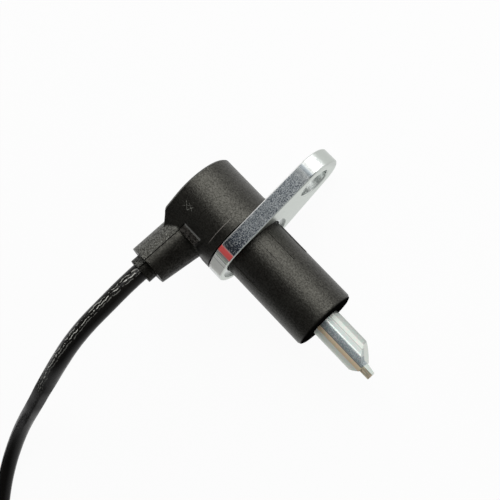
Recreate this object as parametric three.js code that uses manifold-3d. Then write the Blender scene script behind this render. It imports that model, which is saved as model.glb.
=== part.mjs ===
// Wheel speed sensor with its lead: a steel flange on a moulded body, a chisel-ended pole pin at the tip,
// the pickup coil and magnet inside, and a cable that ends in a two-way connector.
// Units are millimetres. The part lies on the table (z = 0) on one flank of its flange.
// Sensor axes: +X towards the pole tip, +Y towards the bolt hole, x = 0 at the flange's mounting face.

import * as THREE from 'three';
import { mergeVertices } from 'three/addons/utils/BufferGeometryUtils.js';
import Module from 'manifold-3d';

const wasm = await Module();
wasm.setup();

// Driving dimensions

const CLEARANCE = 0.3;
// How far a cutter, or the root of a joined piece, runs past the face that it meets
const OVERRUN = 1;
const ROUND = 48;
const SMALL_ROUND = 20;
const DEGREE = Math.PI / 180;

const FLANGE_THICKNESS = 4.7;
const FLANGE_BIG_RADIUS = 11.75;
const FLANGE_LUG_RADIUS = 8;
const FLANGE_BEVEL = 0.35;
const HEAD_OFFSET = -0.7;
const BOLT_OFFSET = 23.5;
const BOLT_HOLE_RADIUS = 4.6;
const POCKET_RADIUS = 11;
const POCKET_DEPTH = 0.8;

const BARREL_RADIUS = 9;
const BARREL_LENGTH = 26.8;
const BARREL_RIM = 1.1;
const BARREL_END_WALL = 2.1;
const RIB_ANGLES = [-34, 31, 54, 97, 150, 205, 268];
const RIB_HEIGHT = 0.14;
const RIB_WIDTH = 0.6;
const RIB_START = 0.8;
const RIB_END = 10.4;

const HEAD_STEP = 0.15;
const HEAD_HEIGHT = 17.7;
const HEAD_BEVEL = 0.5;
const HEAD_COLLAR_HEIGHT = 2.6;
const HEAD_COLLAR_STEP = 0.12;
// Corners of the nose, each at a distance out from the head's middle and to either side
const NOSE_CORNER = [10.1, 7.4];
const NOSE_WAIST = [11.2, 5.8];
const NOSE_TIP = [13.9, 4.1];
const NOSE_CHAMFER_SLOPE = 0.85;
const ROOT_BLOCK_OUT = 11.5;
const ROOT_BLOCK_SIDE = 6.6;
const ROOT_BLOCK_HEIGHT = 5.9;

// The boss stands out from the head's middle, turned about the sensor's axis away from the bolt's line
const BOSS_TURN = 26.5 * DEGREE;
const BOSS_RADIUS = 5.75;
const BOSS_STEP = 0.25;
const BOSS_ROOT = 6.2;
const BOSS_ROOT_DROP = 8.1;
const BOSS_CORNERS = 12;
const BOSS_BACK = 6.7;
const BOSS_REACH = 23.2;
const BOSS_COLLAR_RADIUS = 3.65;
const BOSS_COLLAR_LENGTH = 2.55;

const CAVITY_RADIUS = 7.2;
const CAVITY_BACK_WALL = 2.5;
const BORE_RADIUS = 2.3;

const PIN_RADIUS = 4.15;
const PIN_OFFSET = -0.1;
const PIN_REACH = 15.1;
const PIN_INNER_LENGTH = 5;
const PIN_FLATS = [[-41, -20], [27, 82]];
const PIN_KEY_SIDE = 3.6;
const PIN_KEY_SLOPE = 0.54;
const STEM_RADIUS = 2.5;
const BLADE_LENGTH = 3;
const BLADE_THICKNESS = 1.8;
const BLADE_MIDDLE = -0.3;
const BLADE_FRONT = 3.2;
const BLADE_ROOT = 2;
const BLADE_ROOT_BACK = -0.2;
const BLADE_TIP_BACK = 1.6;
const BLADE_TURN = 9 * DEGREE;
const SHOULDER_LEFT = -1.7;
const SHOULDER_RIGHT = -0.7;

const BOBBIN_TUBE_RADIUS = 3.6;
const BOBBIN_FLANGE_RADIUS = 6.8;
const BOBBIN_FLANGE = 1.3;
const MAGNET_RADIUS = 4.4;
const MAGNET_LENGTH = 6.5;
const MAGNET_CUP_WALL = 0.6;
const WINDING_DEPTH = 2.4;

const TERMINAL_RADIUS = 0.35;
const TERMINAL_SPREAD = 35 * DEGREE;
const TERMINAL_LENGTH = 8.8;
const SLEEVE_RADIUS = 1.1;
const SLEEVE_LENGTH = 4.5;
const SLEEVE_LAP = 1.8;
const WIRE_RADIUS = 0.8;
const WIRE_SPACING = 1.1;
const WIRE_SPREAD = 0.95;

const CABLE_RADIUS = 2.5;
const CABLE_SIDES = 12;
const WIRE_SIDES = 10;
const COIL_RADIUS = 25;
const COIL_TURNS_WIDE = 2;
const COIL_TURNS_HIGH = 2;
// Where the coil and the connector lie, measured from the exit along X and Y
const COIL_PLACE = [-10, -155.5];
const CONNECTOR_PLACE = [-37.5, -117.5];
// The cable's route from the exit to the coil: X and Y from the exit, and the height of its middle
const RUN_ROUTE = [
  [0.1, -5.4, 30.3],
  [0.3, -10.4, 33],
  [0.2, -17.8, 35.2],
  [0.2, -25.5, 35.6],
  [0.5, -33.3, 34.9],
  [0.3, -40.6, 32.4],
  [-0.4, -47.4, 28.8],
  [-1.5, -53.7, 24.4],
  [-2.6, -59.9, 19.8],
  [-3.6, -66.2, 15.5],
  [-4.4, -72.9, 11.6],
  [-4.8, -80, 8.5],
  [-4.6, -87.3, 6],
  [-3.6, -94.8, 4.2],
  [-1.8, -102.2, 3.1],
  [1, -109.5, 2.7],
  [4.5, -116.4, 2.6],
  [9.3, -124.4, 2.53],
  [13.4, -132.2, 2.53],
];
const RUN_STEPS = 28;
const TAIL_STEPS = 4;
const WIRE_STEPS = 22;
const TIE_THICKNESS = 0.9;
const TIE_WIDTH = 3.6;
const TIE_HEAD = 4.6;
const TIE_ANGLES = [-75, 105];

const CONNECTOR_WIDTH = 17;
const CONNECTOR_HEIGHT = 14;
const CONNECTOR_LENGTH = 32;
const CONNECTOR_WALL = 1.8;
const CONNECTOR_CORNER = 2.4;
const SHROUD_DEPTH = 15;
const REAR_CHAMBER_DEPTH = 8;
const LATCH_LENGTH = 6;
const LATCH_WIDTH = 5;
const LATCH_HEIGHT = 1.6;
const LATCH_FLAT = 2;
const GRIP_RIB = 0.6;
const GRIP_COUNT = 4;
const GRIP_START = 4;
const GRIP_PITCH = 3;
const GRIP_WIDTH = 1.4;
const TAB_WIDTH = 2.8;
const TAB_THICKNESS = 0.8;
const TAB_SPACING = 5;
const TAB_REACH = 9;
const LOCK_THICKNESS = 2;
const SEAL_RADIUS = 2.2;
const SEAL_LENGTH = 3.5;
const BOOT_LENGTH = 12;
const BOOT_RADIUS = 5;
const BOOT_GROOVE = 0.8;
const BOOT_RINGS = 4;
const BOOT_RING_SHARE = 0.6;
const BOOT_PLATE = 2;

// Places worked out from the driving dimensions

const headRadius = FLANGE_BIG_RADIUS - HEAD_STEP;
const headFront = -FLANGE_THICKNESS - CLEARANCE;
const headBack = headFront - HEAD_HEIGHT;
const bossMiddle = headBack + BOSS_BACK;
const cavityBack = headBack + CAVITY_BACK_WALL;
const cavityFront = BARREL_LENGTH - BARREL_END_WALL;
const exitAlong = BOSS_REACH + BOSS_COLLAR_LENGTH;
const pinShoulder = BARREL_LENGTH - PIN_INNER_LENGTH;
const pinEnd = BARREL_LENGTH + PIN_REACH;
const bobbinFront = pinShoulder - CLEARANCE;
const stemHole = STEM_RADIUS + CLEARANCE;
const terminalCircle = CAVITY_RADIUS - SLEEVE_RADIUS - CLEARANCE;
const layAngle = Math.asin((FLANGE_BIG_RADIUS - FLANGE_LUG_RADIUS) / (BOLT_OFFSET - HEAD_OFFSET));
const layHeight = FLANGE_BIG_RADIUS + HEAD_OFFSET * Math.sin(layAngle);

// Solids, cuts and joins

function toSolid(geometry) {
  const plain = geometry.clone();
  plain.deleteAttribute('normal');
  plain.deleteAttribute('uv');
  const merged = mergeVertices(plain, 1e-4);
  const mesh = new wasm.Mesh({
    numProp: 3,
    vertProperties: new Float32Array(merged.attributes.position.array),
    triVerts: new Uint32Array(merged.index.array),
  });
  return new wasm.Manifold(mesh);
}

function toGeometry(solid) {
  const mesh = solid.getMesh();
  const geometry = new THREE.BufferGeometry();
  geometry.setAttribute('position', new THREE.BufferAttribute(new Float32Array(mesh.vertProperties), 3));
  geometry.setIndex(new THREE.BufferAttribute(new Uint32Array(mesh.triVerts), 1));
  geometry.computeVertexNormals();
  return geometry;
}

function join(...geometries) {
  return toGeometry(geometries.map(toSolid).reduce((whole, next) => whole.add(next)));
}

function cut(geometry, ...tools) {
  return toGeometry(tools.map(toSolid).reduce((whole, tool) => whole.subtract(tool), toSolid(geometry)));
}

function common(geometry, other) {
  return toGeometry(toSolid(geometry).intersect(toSolid(other)));
}

// A profile of [radius, x] points turned about the sensor's X axis
function turned(profile, segments = ROUND) {
  const points = profile.map(([radius, x]) => new THREE.Vector2(radius, x));
  const geometry = new THREE.LatheGeometry(points, segments);
  geometry.rotateZ(-Math.PI / 2);
  return geometry;
}

function rod(radius, from, to, segments = ROUND) {
  return turned([[0, from], [radius, from], [radius, to], [0, to]], segments);
}

function ring(inner, outer, from, to, segments = ROUND) {
  return turned([[inner, from], [outer, from], [outer, to], [inner, to], [inner, from]], segments);
}

// An outline in the Y-Z plane, drawn out along X with a small bevel that stays inside the outline
function plate(shape, from, to, bevel = 0) {
  const geometry = new THREE.ExtrudeGeometry(shape, {
    depth: to - from - 2 * bevel,
    curveSegments: ROUND / 2,
    bevelEnabled: bevel > 0,
    bevelSize: bevel,
    bevelOffset: -bevel,
    bevelThickness: bevel,
    bevelSegments: 1,
  });
  geometry.translate(0, 0, from + bevel);
  const turn = new THREE.Matrix4().makeBasis(
    new THREE.Vector3(0, 1, 0), new THREE.Vector3(0, 0, 1), new THREE.Vector3(1, 0, 0));
  geometry.applyMatrix4(turn);
  return geometry;
}

function polygon(points) {
  return new THREE.Shape(points.map(([a, b]) => new THREE.Vector2(a, b)));
}

function hole(radius, middle) {
  const path = new THREE.Path();
  path.absarc(middle, 0, radius, 0, 2 * Math.PI, true);
  return path;
}

// A prism between two outlines of the same count, each a list of Vector3
function loft(first, last) {
  const count = first.length;
  const positions = [...first, ...last].flatMap((point) => point.toArray());
  const faces = [];
  for (let i = 0; i < count; i += 1) {
    const next = (i + 1) % count;
    faces.push(i, next, count + next, i, count + next, count + i);
  }
  for (let i = 1; i < count - 1; i += 1) {
    faces.push(0, i + 1, i);
    faces.push(count, count + i, count + i + 1);
  }
  const geometry = new THREE.BufferGeometry();
  geometry.setAttribute('position', new THREE.Float32BufferAttribute(positions, 3));
  geometry.setIndex(faces);
  return geometry;
}

// A round tube along a curve
function tube(curve, radius, steps, sides) {
  const section = new THREE.Shape();
  section.absarc(0, 0, radius, 0, 2 * Math.PI, false);
  const geometry = new THREE.ExtrudeGeometry(section, {
    steps,
    curveSegments: sides / 2,
    bevelEnabled: false,
    extrudePath: curve,
  });
  return geometry;
}

function roundedBox(width, height, from, to, corner) {
  const x = width / 2;
  const z = height / 2;
  const shape = new THREE.Shape();
  shape.absarc(x - corner, z - corner, corner, 0, Math.PI / 2, false);
  shape.absarc(corner - x, z - corner, corner, Math.PI / 2, Math.PI, false);
  shape.absarc(corner - x, corner - z, corner, Math.PI, 1.5 * Math.PI, false);
  shape.absarc(x - corner, corner - z, corner, 1.5 * Math.PI, 2 * Math.PI, false);
  const geometry = new THREE.ExtrudeGeometry(shape, { depth: to - from, curveSegments: 4, bevelEnabled: false });
  geometry.rotateX(Math.PI / 2);
  geometry.translate(0, to, 0);
  return geometry;
}

function box(low, high) {
  const size = high.map((value, i) => value - low[i]);
  const geometry = new THREE.BoxGeometry(...size);
  geometry.translate(...low.map((value, i) => value + size[i] / 2));
  return geometry;
}

// Finishes

const FINISHES = {
  nylon: { color: 0x17181a, roughness: 0.62, metalness: 0 },
  zinc: { color: 0xb9bfc4, roughness: 0.34, metalness: 1 },
  iron: { color: 0xa9adb2, roughness: 0.26, metalness: 1 },
  magnet: { color: 0x4c4e52, roughness: 0.5, metalness: 0.8 },
  bobbin: { color: 0xd9d4c6, roughness: 0.55, metalness: 0 },
  copper: { color: 0xa5552c, roughness: 0.35, metalness: 1 },
  tin: { color: 0xc8c8c4, roughness: 0.3, metalness: 1 },
  wire: { color: 0x6e5a3c, roughness: 0.5, metalness: 0 },
  jacket: { color: 0x0c0c0d, roughness: 0.3, metalness: 0 },
  tie: { color: 0x111213, roughness: 0.45, metalness: 0 },
  rubber: { color: 0x141414, roughness: 0.7, metalness: 0 },
  seal: { color: 0x9a4a22, roughness: 0.6, metalness: 0 },
  housing: { color: 0x1b1c1e, roughness: 0.5, metalness: 0 },
  lock: { color: 0x8f949a, roughness: 0.5, metalness: 0 },
};

function piece(name, geometry, finish) {
  const mesh = new THREE.Mesh(geometry, new THREE.MeshStandardMaterial(FINISHES[finish]));
  mesh.name = name;
  return mesh;
}

// Moulded body: head, cable boss, neck and barrel in one piece, hollow for the pickup

// The head, its nose and the boss are drawn with the head's middle at y = 0 and the boss along -Y
function turnBoss(geometry) {
  geometry.rotateX(-BOSS_TURN);
  geometry.translate(0, HEAD_OFFSET, 0);
  return geometry;
}

// A point on the boss's own axis, and one beside it: back is away from the tip
function bossPoint(along, back = 0, side = 0) {
  return new THREE.Vector3(bossMiddle - back, -along, side)
    .applyAxisAngle(new THREE.Vector3(1, 0, 0), -BOSS_TURN)
    .add(new THREE.Vector3(0, HEAD_OFFSET, 0));
}

// The nose leaves the round head along its tangents, and thins away towards the boss's parting line
function noseOutline(x, corner, scale) {
  const [out, side] = NOSE_CORNER;
  const tangent = Math.atan2(side, out) + Math.acos(headRadius / Math.hypot(out, side));
  const start = [headRadius * Math.cos(tangent), headRadius * Math.sin(tangent)];
  const half = [start, corner, NOSE_WAIST, NOSE_TIP].map(([far, wide]) => [-far * scale, wide * scale]);
  const other = half.map(([y, z]) => [y, -z]).reverse();
  return [[0, 0], ...half, ...other].map(([y, z]) => new THREE.Vector3(x, y, z));
}

function nose() {
  const rimScale = 1 - HEAD_BEVEL / headRadius;
  const rim = noseOutline(headBack, NOSE_CORNER, rimScale);
  const top = noseOutline(headBack + HEAD_BEVEL, NOSE_CORNER, 1);
  const onRound = NOSE_CORNER.map((value) => value * headRadius / Math.hypot(...NOSE_CORNER));
  const foot = noseOutline(bossMiddle, onRound, 1);
  return join(loft(rim, top), loft(top, foot));
}

// Half of the boss: the half away from the flange is round, the other deepens towards the head
function bossHalf(side, width, rootDrop, endDrop) {
  const outline = (along, drop) => {
    const points = [];
    for (let i = 0; i <= BOSS_CORNERS; i += 1) {
      const angle = Math.PI * i / BOSS_CORNERS;
      points.push(bossPoint(along, side * drop * Math.sin(angle), side * width * Math.cos(angle)));
    }
    return points;
  };
  return loft(outline(BOSS_ROOT, rootDrop), outline(BOSS_REACH, endDrop));
}

function alongBoss(geometry) {
  geometry.rotateZ(-Math.PI / 2);
  geometry.translate(bossMiddle, 0, 0);
  return turnBoss(geometry);
}

function crushRibs() {
  return RIB_ANGLES.map((angle) => {
    const reach = BARREL_RADIUS + RIB_HEIGHT;
    const rib = box([RIB_START, -RIB_WIDTH / 2, BARREL_RADIUS / 2], [RIB_END, RIB_WIDTH / 2, reach]);
    rib.rotateX(-angle * DEGREE);
    return rib;
  });
}

// The slope at the back of the nose, down towards the boss
function noseChamfer() {
  const spare = 3;
  const start = NOSE_CORNER[0];
  const outer = NOSE_TIP[0] + spare;
  const drop = (outer - start) * NOSE_CHAMFER_SLOPE;
  const outline = (side) => [
    new THREE.Vector3(headBack - spare, -start, side),
    new THREE.Vector3(headBack - spare, -outer, side),
    new THREE.Vector3(headBack + drop, -outer, side),
    new THREE.Vector3(headBack, -start, side),
  ];
  return loft(outline(-headRadius), outline(headRadius));
}

function sensorHead() {
  const blank = turned([
    [0, headBack],
    [headRadius - HEAD_BEVEL, headBack],
    [headRadius, headBack + HEAD_BEVEL],
    [headRadius, headFront],
    [0, headFront],
  ]);
  const rootBlock = box(
    [bossMiddle, -ROOT_BLOCK_OUT, -ROOT_BLOCK_SIDE],
    [bossMiddle + ROOT_BLOCK_HEIGHT, 0, ROOT_BLOCK_SIDE]);
  const foot = rod(headRadius + HEAD_COLLAR_STEP, headFront - HEAD_COLLAR_HEIGHT, headFront);
  return turnBoss(join(cut(join(blank, nose()), noseChamfer()), rootBlock, foot));
}

function sensorBody() {
  const rim = BARREL_RADIUS - BARREL_RIM;
  const corner = 0.3 * BARREL_RIM;
  const barrel = turned([
    [0, headFront - OVERRUN],
    [BARREL_RADIUS, headFront - OVERRUN],
    [BARREL_RADIUS, BARREL_LENGTH - BARREL_RIM],
    [BARREL_RADIUS - corner, BARREL_LENGTH - corner],
    [rim, BARREL_LENGTH],
    [0, BARREL_LENGTH],
  ]);
  const solid = join(
    sensorHead(),
    barrel,
    bossHalf(1, BOSS_RADIUS, BOSS_RADIUS, BOSS_RADIUS),
    bossHalf(-1, BOSS_RADIUS + BOSS_STEP, BOSS_ROOT_DROP, BOSS_RADIUS + BOSS_STEP),
    alongBoss(rod(BOSS_COLLAR_RADIUS, BOSS_REACH - OVERRUN, exitAlong, 28)),
    ...crushRibs());
  return cut(
    solid,
    rod(CAVITY_RADIUS, cavityBack, cavityFront, 36),
    rod(PIN_RADIUS + CLEARANCE - PIN_OFFSET, cavityFront - OVERRUN, BARREL_LENGTH + OVERRUN, 36),
    alongBoss(rod(BORE_RADIUS, BOSS_ROOT, exitAlong + OVERRUN, SMALL_ROUND)));
}

// Steel flange: round at the sensor, drawn out to the lug with the bolt hole

function mountingFlange() {
  const side = Math.PI / 2 - layAngle;
  const shape = new THREE.Shape();
  shape.absarc(BOLT_OFFSET, 0, FLANGE_LUG_RADIUS, -side, side, false);
  shape.absarc(HEAD_OFFSET, 0, FLANGE_BIG_RADIUS, side, 2 * Math.PI - side, false);
  shape.holes.push(hole(BARREL_RADIUS + CLEARANCE, 0));
  shape.holes.push(hole(BOLT_HOLE_RADIUS, BOLT_OFFSET));
  const blank = plate(shape, -FLANGE_THICKNESS, 0, FLANGE_BEVEL);
  return cut(blank, rod(POCKET_RADIUS, -POCKET_DEPTH, OVERRUN));
}

// Pole pin: a flatted round pin with shoulders and a narrow blade, and a thin stem through the coil

function flattedCircle(radius, middle, flats) {
  const step = 360 / ROUND;
  const angles = flats.flat();
  for (let angle = -180; angle < 180; angle += step) {
    const inFlat = flats.some(([from, to]) => angle > from && angle < to);
    if (!inFlat) {
      angles.push(angle);
    }
  }
  const ordered = [...new Set(angles)].sort((a, b) => b - a);
  return ordered.map((angle) => [
    middle + radius * Math.sin(angle * DEGREE),
    radius * Math.cos(angle * DEGREE),
  ]);
}

function polePin() {
  const section = polygon(flattedCircle(PIN_RADIUS, PIN_OFFSET, PIN_FLATS));
  const shaft = plate(section, pinShoulder, pinEnd + OVERRUN);
  const wide = PIN_RADIUS + 2 * OVERRUN;
  const keyEnd = BARREL_LENGTH + (wide - PIN_KEY_SIDE) / PIN_KEY_SLOPE;
  const side = polygon([
    [pinShoulder - OVERRUN, -wide],
    [pinEnd - (wide + SHOULDER_LEFT), -wide],
    [pinEnd, SHOULDER_LEFT],
    [pinEnd, SHOULDER_RIGHT],
    [pinEnd - (wide - SHOULDER_RIGHT), wide],
    [keyEnd, wide],
    [BARREL_LENGTH, PIN_KEY_SIDE],
    [pinShoulder - OVERRUN, PIN_KEY_SIDE],
  ]);
  const envelope = new THREE.ExtrudeGeometry(side, { depth: 2 * wide, bevelEnabled: false });
  envelope.translate(0, 0, -wide);
  const bladeSide = polygon([
    [pinEnd - BLADE_ROOT, BLADE_ROOT_BACK],
    [pinEnd + BLADE_LENGTH, BLADE_TIP_BACK],
    [pinEnd + BLADE_LENGTH, BLADE_FRONT],
    [pinEnd - BLADE_ROOT, BLADE_FRONT],
  ]);
  const blade = new THREE.ExtrudeGeometry(bladeSide, { depth: BLADE_THICKNESS, bevelEnabled: false });
  blade.translate(0, 0, -BLADE_THICKNESS / 2);
  blade.rotateX(Math.PI / 2);
  blade.rotateX(BLADE_TURN);
  blade.translate(0, BLADE_MIDDLE, 0);
  const stem = rod(STEM_RADIUS, -BOBBIN_FLANGE + CLEARANCE, pinShoulder + OVERRUN, 28);
  return join(common(shaft, envelope), blade, stem);
}

// Pickup: bobbin with a cup for the magnet, winding, magnet, terminals and their crimp sleeves

function coilBobbin() {
  const cup = MAGNET_RADIUS + CLEARANCE;
  const cupBack = -BOBBIN_FLANGE - CLEARANCE - MAGNET_LENGTH;
  return turned([
    [cup, cupBack],
    [cup + MAGNET_CUP_WALL, cupBack],
    [cup + MAGNET_CUP_WALL, -BOBBIN_FLANGE],
    [BOBBIN_FLANGE_RADIUS, -BOBBIN_FLANGE],
    [BOBBIN_FLANGE_RADIUS, 0],
    [BOBBIN_TUBE_RADIUS, 0],
    [BOBBIN_TUBE_RADIUS, bobbinFront - BOBBIN_FLANGE],
    [BOBBIN_FLANGE_RADIUS, bobbinFront - BOBBIN_FLANGE],
    [BOBBIN_FLANGE_RADIUS, bobbinFront],
    [stemHole, bobbinFront],
    [stemHole, -BOBBIN_FLANGE],
    [cup, -BOBBIN_FLANGE],
    [cup, cupBack],
  ], 32);
}

function coilWinding() {
  const inner = BOBBIN_TUBE_RADIUS + CLEARANCE;
  return ring(inner, inner + WINDING_DEPTH, CLEARANCE, bobbinFront - BOBBIN_FLANGE - CLEARANCE, 32);
}

function permanentMagnet() {
  return rod(MAGNET_RADIUS, -BOBBIN_FLANGE - MAGNET_LENGTH, -BOBBIN_FLANGE - CLEARANCE / 2, 32);
}

function terminalPlace(side) {
  const y = -terminalCircle * Math.cos(TERMINAL_SPREAD);
  const z = side * terminalCircle * Math.sin(TERMINAL_SPREAD);
  return new THREE.Vector3(-BOBBIN_FLANGE - CLEARANCE, y, z)
    .applyAxisAngle(new THREE.Vector3(1, 0, 0), -BOSS_TURN);
}

function leadPieces(side, number) {
  const place = terminalPlace(side);
  const end = -TERMINAL_LENGTH;
  const terminal = piece(`bobbin_terminal_${number}`, rod(TERMINAL_RADIUS, end, 0, 12), 'tin');
  const sleeveStart = end + SLEEVE_LAP;
  const bore = TERMINAL_RADIUS + CLEARANCE;
  const sleeveGeometry = ring(bore, SLEEVE_RADIUS, sleeveStart - SLEEVE_LENGTH, sleeveStart, 14);
  const sleeve = piece(`crimp_sleeve_${number}`, sleeveGeometry, 'tin');
  terminal.position.copy(place);
  sleeve.position.copy(place);
  const from = place.x + sleeveStart - SLEEVE_LENGTH - CLEARANCE;
  const inBore = side * WIRE_SPACING;
  const curve = new THREE.CatmullRomCurve3([
    new THREE.Vector3(from, place.y, place.z),
    new THREE.Vector3(from - WIRE_RADIUS, place.y, place.z),
    bossPoint(terminalCircle - WIRE_RADIUS, 0, WIRE_SPREAD * inBore),
    bossPoint(terminalCircle + 2 * WIRE_RADIUS, 0, inBore),
    bossPoint((terminalCircle + exitAlong) / 2, 0, inBore),
    bossPoint(exitAlong, 0, inBore),
  ], false, 'centripetal');
  const wire = piece(`sensor_wire_${number}`, tube(curve, WIRE_RADIUS, WIRE_STEPS, WIRE_SIDES), 'wire');
  return [terminal, sleeve, wire];
}

const sensor = new THREE.Group();
sensor.add(
  piece('sensor_body', sensorBody(), 'nylon'),
  piece('mounting_flange', mountingFlange(), 'zinc'),
  piece('pole_pin', polePin(), 'iron'),
  piece('coil_bobbin', coilBobbin(), 'bobbin'),
  piece('coil_winding', coilWinding(), 'copper'),
  piece('permanent_magnet', permanentMagnet(), 'magnet'),
  ...leadPieces(-1, 1),
  ...leadPieces(1, 2));
sensor.rotation.x = -layAngle;
sensor.position.z = layHeight;
sensor.updateMatrixWorld(true);

const footprint = new THREE.Box3().setFromObject(sensor, true);
sensor.position.x = -(footprint.min.x + footprint.max.x) / 2;
sensor.position.y = -(footprint.min.y + footprint.max.y) / 2;
sensor.updateMatrixWorld(true);

// Lead: out of the boss, down to the table, along it to the coil, then a short tail to the connector

const exit = sensor.localToWorld(bossPoint(exitAlong));

function fromExit([x, y, z]) {
  return new THREE.Vector3(exit.x + x, exit.y + y, z);
}

const coilMiddle = fromExit([...COIL_PLACE, 0]);
const coilBottom = TIE_THICKNESS + CLEARANCE;
const coilHeight = 2 * CABLE_RADIUS * COIL_TURNS_HIGH;
const coilWidth = 2 * CABLE_RADIUS * COIL_TURNS_WIDE;
const coilInner = COIL_RADIUS - coilWidth / 2;
const coilOuter = COIL_RADIUS + coilWidth / 2;
const connectorPlace = fromExit([...CONNECTOR_PLACE, CONNECTOR_HEIGHT / 2]);

function cableRun() {
  const outwards = sensor.localToWorld(bossPoint(exitAlong + CLEARANCE));
  const curve = new THREE.CatmullRomCurve3([outwards, ...RUN_ROUTE.map(fromExit)], false, 'centripetal');
  return tube(curve, CABLE_RADIUS, RUN_STEPS, CABLE_SIDES);
}

// The tail leaves the outer turn on the far side and ends at the connector's boot
function cableTail() {
  const x = connectorPlace.x;
  const end = connectorPlace.y - BOOT_LENGTH - CLEARANCE;
  const leave = coilOuter + CABLE_RADIUS + CLEARANCE;
  const start = coilMiddle.y + Math.sqrt(leave ** 2 - (coilMiddle.x - x) ** 2);
  const top = coilBottom + coilHeight - CABLE_RADIUS;
  const straight = end - CABLE_RADIUS;
  const curve = new THREE.CatmullRomCurve3([
    new THREE.Vector3(x, start, top),
    new THREE.Vector3(x, straight, connectorPlace.z),
    new THREE.Vector3(x, end, connectorPlace.z),
  ], false, 'centripetal');
  return tube(curve, CABLE_RADIUS, TAIL_STEPS, CABLE_SIDES);
}

function cableCoil() {
  const corner = 0.4 * CABLE_RADIUS;
  const top = coilBottom + coilHeight;
  const points = [
    [coilInner, coilBottom + corner],
    [coilInner + corner, coilBottom],
    [coilOuter - corner, coilBottom],
    [coilOuter, coilBottom + corner],
    [coilOuter, top - corner],
    [coilOuter - corner, top],
    [coilInner + corner, top],
    [coilInner, top - corner],
    [coilInner, coilBottom + corner],
  ];
  const geometry = new THREE.LatheGeometry(points.map(([r, z]) => new THREE.Vector2(r, z)), ROUND);
  geometry.rotateX(Math.PI / 2);
  geometry.translate(coilMiddle.x, coilMiddle.y, 0);
  return geometry;
}

// A strap round the coil's section, with its lock on the outer side
function cableTie(angle) {
  const gap = CLEARANCE + TIE_THICKNESS;
  const half = TIE_WIDTH / 2;
  const outer = box(
    [coilInner - gap, -half, 0],
    [coilOuter + gap, half, coilBottom + coilHeight + gap]);
  const inner = box(
    [coilInner - CLEARANCE, -half - OVERRUN, coilBottom - CLEARANCE],
    [coilOuter + CLEARANCE, half + OVERRUN, coilBottom + coilHeight + CLEARANCE]);
  const middle = coilBottom + coilHeight / 2;
  const lock = box(
    [coilOuter + gap - TIE_THICKNESS / 2, -TIE_HEAD / 2, middle - TIE_HEAD / 2],
    [coilOuter + gap + TIE_HEAD / 2, TIE_HEAD / 2, middle + TIE_HEAD / 2]);
  const tie = join(cut(outer, inner), lock);
  tie.rotateZ(angle * DEGREE);
  tie.translate(coilMiddle.x, coilMiddle.y, 0);
  return tie;
}

// Connector: housing with a shrouded mouth, two tabs, wires, seals, a lock plate and a rubber boot.
// Its own axes: Y from the rear to the mouth, X across, Z up, y = 0 at the rear face.

const shroudFloor = CONNECTOR_LENGTH - SHROUD_DEPTH;
const chamberWidth = CONNECTOR_WIDTH - 2 * CONNECTOR_WALL;
const chamberHeight = CONNECTOR_HEIGHT - 2 * CONNECTOR_WALL;
const chamberCorner = CONNECTOR_CORNER / 2;
const crimpFront = REAR_CHAMBER_DEPTH - CLEARANCE;
const crimpBack = crimpFront - TAB_WIDTH;

function tabSlots(from, to) {
  return [-1, 1].map((side) => {
    const middle = side * TAB_SPACING / 2;
    const halfWidth = TAB_WIDTH / 2 + CLEARANCE;
    const halfHeight = TAB_THICKNESS / 2 + CLEARANCE;
    return box([middle - halfWidth, from, -halfHeight], [middle + halfWidth, to, halfHeight]);
  });
}

function alongY(geometry) {
  geometry.rotateZ(Math.PI / 2);
  return geometry;
}

function connectorHousing() {
  const halfWidth = CONNECTOR_WIDTH / 2;
  const halfHeight = CONNECTOR_HEIGHT / 2;
  const shell = roundedBox(CONNECTOR_WIDTH, CONNECTOR_HEIGHT, 0, CONNECTOR_LENGTH, CONNECTOR_CORNER);
  const latchStart = CONNECTOR_LENGTH - 2 * LATCH_LENGTH;
  const latchSide = (x) => [
    new THREE.Vector3(x, latchStart, halfHeight - OVERRUN),
    new THREE.Vector3(x, latchStart + LATCH_LENGTH, halfHeight - OVERRUN),
    new THREE.Vector3(x, latchStart + LATCH_LENGTH, halfHeight + LATCH_HEIGHT),
    new THREE.Vector3(x, latchStart + LATCH_LENGTH - LATCH_FLAT, halfHeight + LATCH_HEIGHT),
    new THREE.Vector3(x, latchStart, halfHeight),
  ];
  const latch = loft(latchSide(-LATCH_WIDTH / 2), latchSide(LATCH_WIDTH / 2));
  const grips = [];
  for (const side of [-1, 1]) {
    for (let i = 0; i < GRIP_COUNT; i += 1) {
      const y = GRIP_START + GRIP_PITCH * i;
      const inner = side * (halfWidth - OVERRUN);
      const outer = side * (halfWidth + GRIP_RIB);
      grips.push(box(
        [Math.min(inner, outer), y, -halfHeight / 2],
        [Math.max(inner, outer), y + GRIP_WIDTH, halfHeight / 2]));
    }
  }
  return cut(
    join(shell, latch, ...grips),
    roundedBox(chamberWidth, chamberHeight, shroudFloor, CONNECTOR_LENGTH + OVERRUN, chamberCorner),
    roundedBox(chamberWidth, chamberHeight, -1, REAR_CHAMBER_DEPTH, chamberCorner),
    ...tabSlots(REAR_CHAMBER_DEPTH - OVERRUN, shroudFloor + OVERRUN));
}

function connectorTerminal(side) {
  const middle = side * TAB_SPACING / 2;
  const half = TAB_WIDTH / 2;
  const tab = box(
    [middle - half, crimpFront - OVERRUN, -TAB_THICKNESS / 2],
    [middle + half, shroudFloor + TAB_REACH, TAB_THICKNESS / 2]);
  const crimp = alongY(rod(half * 0.7, crimpBack, crimpFront, 12));
  crimp.translate(middle, 0, 0);
  return join(tab, crimp);
}

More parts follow.
